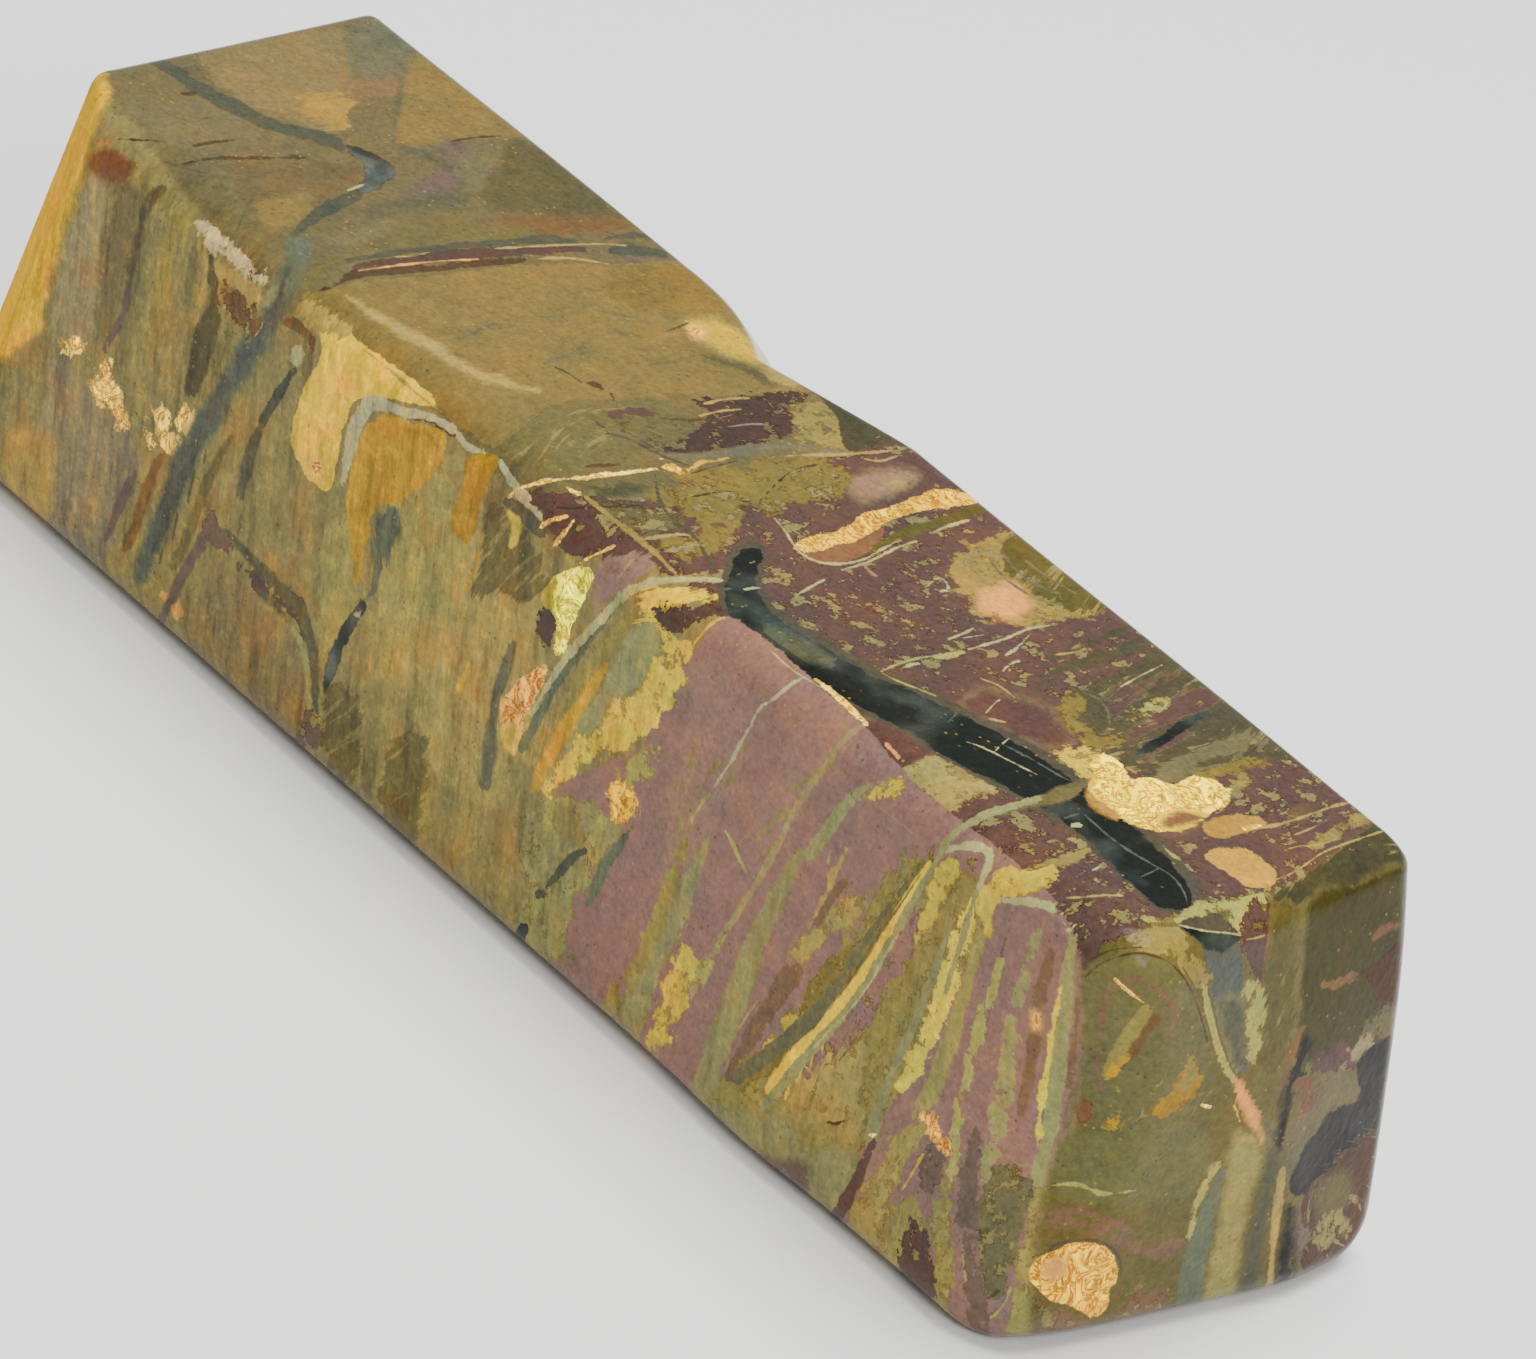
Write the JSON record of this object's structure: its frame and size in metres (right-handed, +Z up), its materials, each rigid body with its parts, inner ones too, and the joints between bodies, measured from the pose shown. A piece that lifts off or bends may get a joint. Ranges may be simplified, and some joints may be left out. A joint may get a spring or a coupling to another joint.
{
  "type": "polished picture jasper bar",
  "caption": "Hand-ground, polished bar of picture jasper with a low faceted tip, lying on its flat long base.",
  "frame": {"origin": "middle of the stone's outline box at the level of its flat base", "axes": "+X along the stone towards its low faceted tip, +Z up from the base, the front face looks to -Y"},
  "size_m": [0.123, 0.0368, 0.0327],
  "materials": {
    "picture_jasper": "polished stone, ochre, olive and purple-brown with blue-black veins"
  },
  "bodies": {
    "root": {"jasper_bar": "picture_jasper"}
  },
  "joints": []
}
